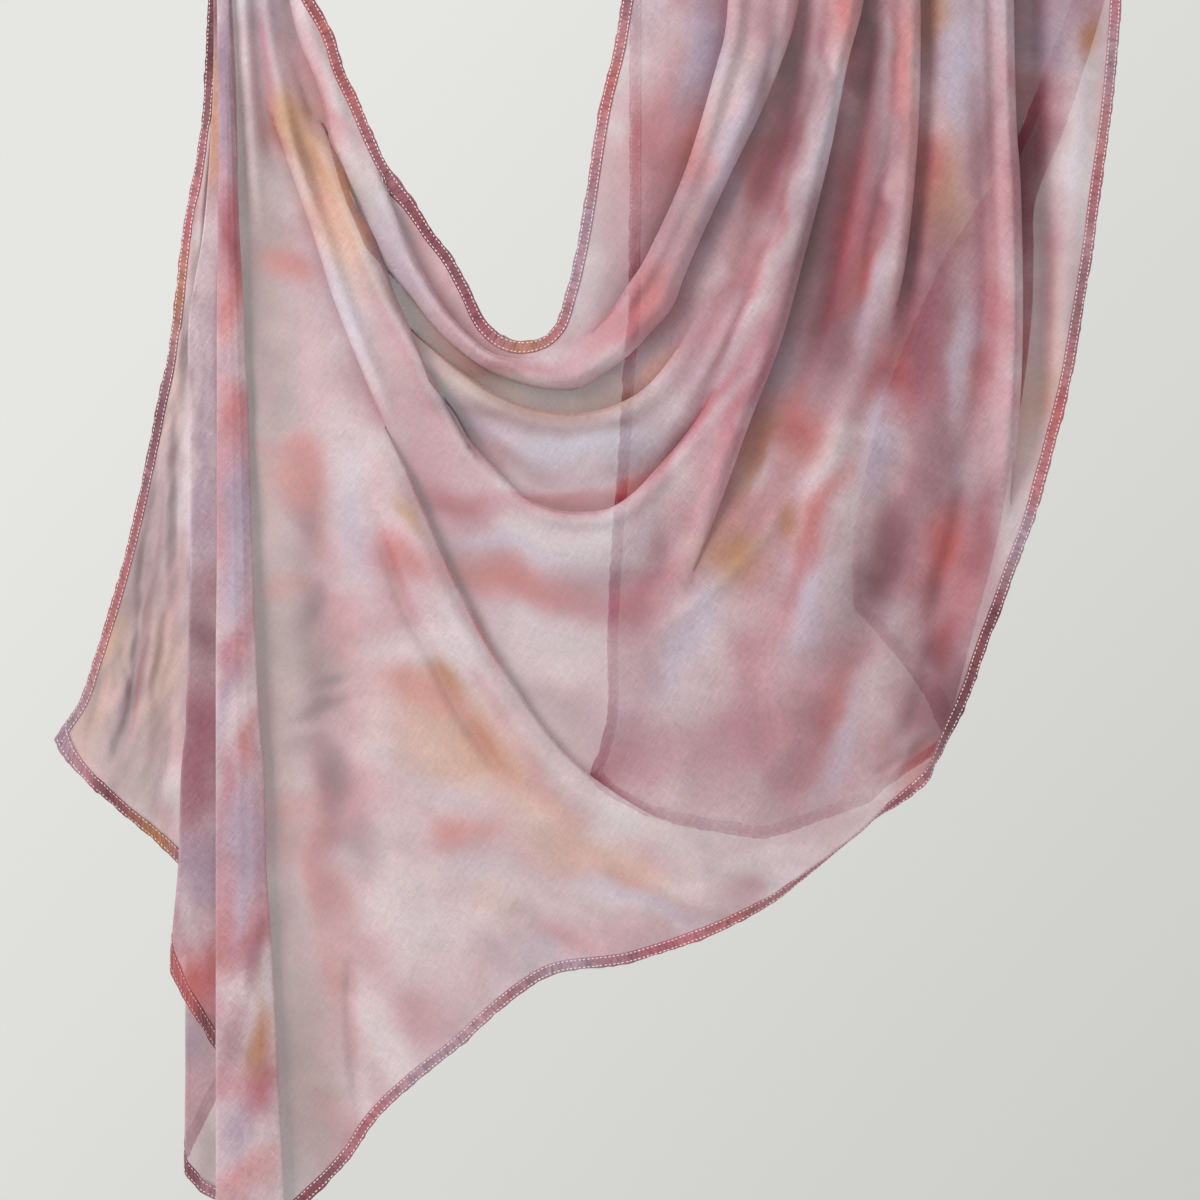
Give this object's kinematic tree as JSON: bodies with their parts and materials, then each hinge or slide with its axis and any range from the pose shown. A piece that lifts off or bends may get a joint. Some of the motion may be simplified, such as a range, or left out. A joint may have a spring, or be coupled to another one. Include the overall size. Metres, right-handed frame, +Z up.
{
  "type": "hijab hung on a rod",
  "caption": "Long thin scarf hung over a round rod, falling in a deep swag to a clipped bunch, with one end in pleats and the other behind.",
  "frame": {"origin": "centre of the rod's left end face", "axes": "+X along the rod to its right end, +Z up, the drape's front faces -Y"},
  "size_m": [0.789, 0.0645, 0.9498],
  "materials": {
    "voile": "thin see-through voile, soft dyed wash",
    "voile_hem": "the same voile turned twice and stitched",
    "rod_wood": "satin",
    "clip_plastic": "satin"
  },
  "bodies": {
    "root": {"front_drape": "voile", "back_tail": "voile", "tail_rear": "voile", "tail_middle_pleat": "voile", "tail_inner_pleat": "voile", "tail_front_pleat": "voile", "hem_upper": "voile_hem", "hem_lower": "voile_hem", "hem_tail_side": "voile_hem", "hem_end_rear": "voile_hem", "hem_end_middle": "voile_hem", "hem_end_inner": "voile_hem", "hem_end_front": "voile_hem", "hem_back_side": "voile_hem", "hem_back_fold": "voile_hem", "hem_back_end": "voile_hem", "rod": "rod_wood", "clip": "clip_plastic"}
  },
  "joints": []
}
